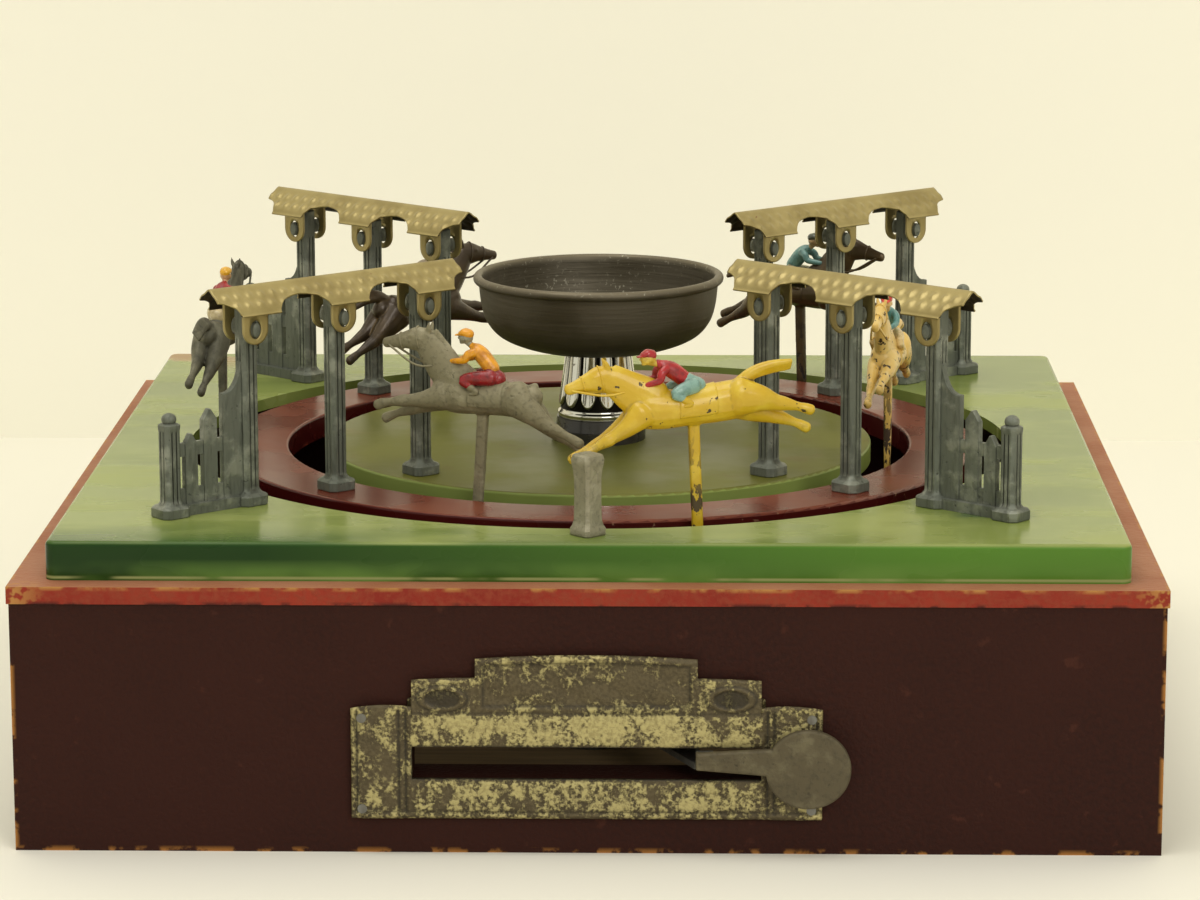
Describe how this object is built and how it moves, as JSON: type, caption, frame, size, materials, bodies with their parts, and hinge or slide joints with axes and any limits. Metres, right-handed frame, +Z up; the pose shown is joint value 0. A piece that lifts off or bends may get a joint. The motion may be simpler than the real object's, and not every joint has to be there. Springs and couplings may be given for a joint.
{
  "type": "lever horse race game",
  "caption": "Table-top race game: cast horses with riders turn in round lanes under roofed gates, driven by a lever in the front of a square box.",
  "frame": {"origin": "middle of the box's flat underside, below the spindle", "axes": "+X to the right and +Y away from whoever faces the plaque, +Z up"},
  "size_m": [0.265, 0.2579, 0.1245],
  "materials": {
    "dark_paper": "dull maroon paper, worn at the edges",
    "bare_board": "bare board",
    "red_paper": "dull red paper, worn to ochre at the edges",
    "green_enamel": "glossy green enamel on tin",
    "brown_enamel": "glossy brown-red enamel on tin",
    "olive_enamel": "satin olive green enamel on tin",
    "pink_lead": "cast lead, dull",
    "grey_lead": "cast lead, dull and blue-grey",
    "dark_lead": "cast lead, dark and rubbed",
    "painted_lead": "cast lead with worn cream paint",
    "dark_japan": "dark lacquer",
    "bright_nickel": "bright nickel plate",
    "dark_bronze": "patinated dark bronze",
    "champagne_tin": "champagne lacquer on stamped tin",
    "plain_steel": "plain steel",
    "cast_brass": "machined brass",
    "grey_felt": "pressed felt",
    "yellow_paint": "yellow gloss paint on cast lead, chipped",
    "bronze_paint": "dark bronze paint on cast lead",
    "cream_paint": "cream paint on cast lead, chipped",
    "brown_paint": "dark brown paint on cast lead"
  },
  "bodies": {
    "base": {"box_front": "dark_paper", "box_back": "dark_paper", "box_left": "dark_paper", "box_right": "dark_paper", "box_bottom": "bare_board", "corner_blocks": "bare_board", "paper_edging": "red_paper", "top_plate": "green_enamel", "track_ring": "brown_enamel", "centre_disc": "olive_enamel", "finish_post": "pink_lead", "stem_foot": "dark_japan", "fluted_stem": "bright_nickel", "bowl": "dark_bronze", "bowl_nut": "dark_bronze", "spindle": "plain_steel", "base_screws": "plain_steel", "disc_collar": "plain_steel", "slot_plaque": "painted_lead", "plaque_nails": "plain_steel", "lever_pivot": "plain_steel", "pivot_collar": "plain_steel", "return_spring": "plain_steel", "spring_peg": "plain_steel", "column_inner_front_left": "grey_lead", "column_inner_front_right": "grey_lead", "column_inner_back_left": "grey_lead", "column_inner_back_right": "grey_lead", "column_middle_front_left": "grey_lead", "column_middle_front_right": "grey_lead", "column_middle_back_left": "grey_lead", "column_middle_back_right": "grey_lead", "fence_column_front_left": "grey_lead", "fence_column_front_right": "grey_lead", "fence_column_back_left": "grey_lead", "fence_column_back_right": "grey_lead", "gate_roof_front_left": "champagne_tin", "gate_roof_front_right": "champagne_tin", "gate_roof_back_left": "champagne_tin", "gate_roof_back_right": "champagne_tin"},
    "lever": {"thumb_piece": "dark_lead", "lever_plate": "plain_steel", "lever_bush": "cast_brass"},
    "drive": {"drive_pinion": "cast_brass", "lower_felt": "grey_felt"},
    "outer_lane": {"outer_carrier": "plain_steel", "upper_felt": "grey_felt", "horse_yellow": "yellow_paint", "horse_bronze": "bronze_paint", "horse_pewter": "dark_lead"},
    "inner_lane": {"inner_carrier": "plain_steel", "horse_grey": "grey_lead", "horse_cream": "cream_paint", "horse_brown": "brown_paint"}
  },
  "joints": [
    {"name": "lever_swing", "type": "hinge", "parent": "base", "child": "lever", "pos_m": [0, -0.055, 0.021], "axis": [0, 0, 1], "range_deg": [-46, 0], "stiffness_Nm_per_rad": 0.01, "springref_deg": 17.19, "deforming": ["return_spring"]},
    {"name": "drive_spin", "type": "hinge", "parent": "base", "child": "drive", "pos_m": [0, 0, 0], "axis": [0, 0, 1], "range_deg": [0, 149]},
    {"name": "outer_lane_spin", "type": "hinge", "parent": "base", "child": "outer_lane", "pos_m": [0, 0, 0], "axis": [0, 0, 1], "continuous": true},
    {"name": "inner_lane_spin", "type": "hinge", "parent": "base", "child": "inner_lane", "pos_m": [0, 0, 0], "axis": [0, 0, 1], "continuous": true}
  ],
  "couplings": [
    {"joint": "drive_spin", "follows": "lever_swing", "ratio": -3.2308}
  ]
}
